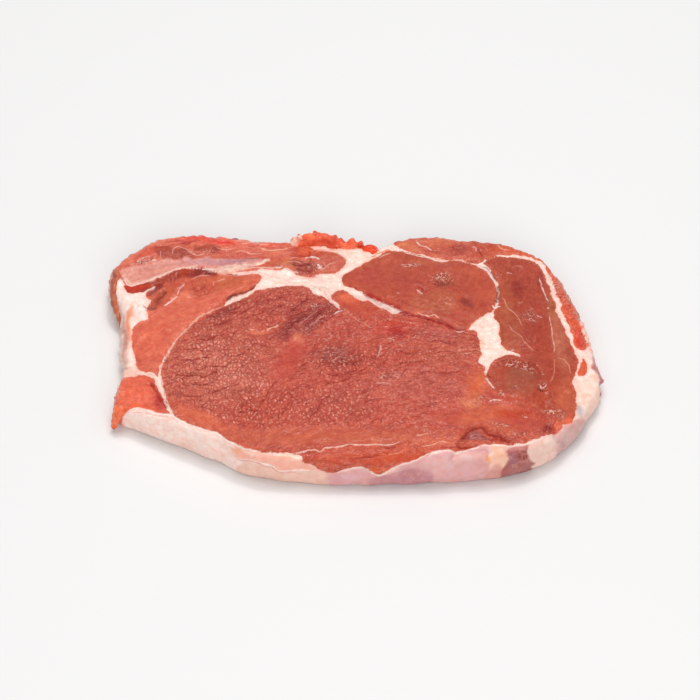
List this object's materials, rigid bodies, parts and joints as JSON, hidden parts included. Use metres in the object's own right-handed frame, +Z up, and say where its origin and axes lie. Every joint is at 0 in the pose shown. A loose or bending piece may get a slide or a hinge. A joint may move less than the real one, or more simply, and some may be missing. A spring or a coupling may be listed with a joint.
{
  "type": "beef entrecote",
  "caption": "Raw boneless beef rib slice lying flat: an oval eye with smaller muscles behind and beside it, seams of fat between them and a fat rim.",
  "frame": {"origin": "centre of the bottom of the slice's box, on the surface that it lies on", "axes": "+X to the right along the slice's length, +Y away from the viewer across it, +Z up through its thickness"},
  "size_m": [0.1999, 0.1334, 0.017],
  "materials": {
    "meat": "moist raw beef, smooth fat and silverskin round the rim"
  },
  "bodies": {
    "root": {"entrecote": "meat"}
  },
  "joints": []
}
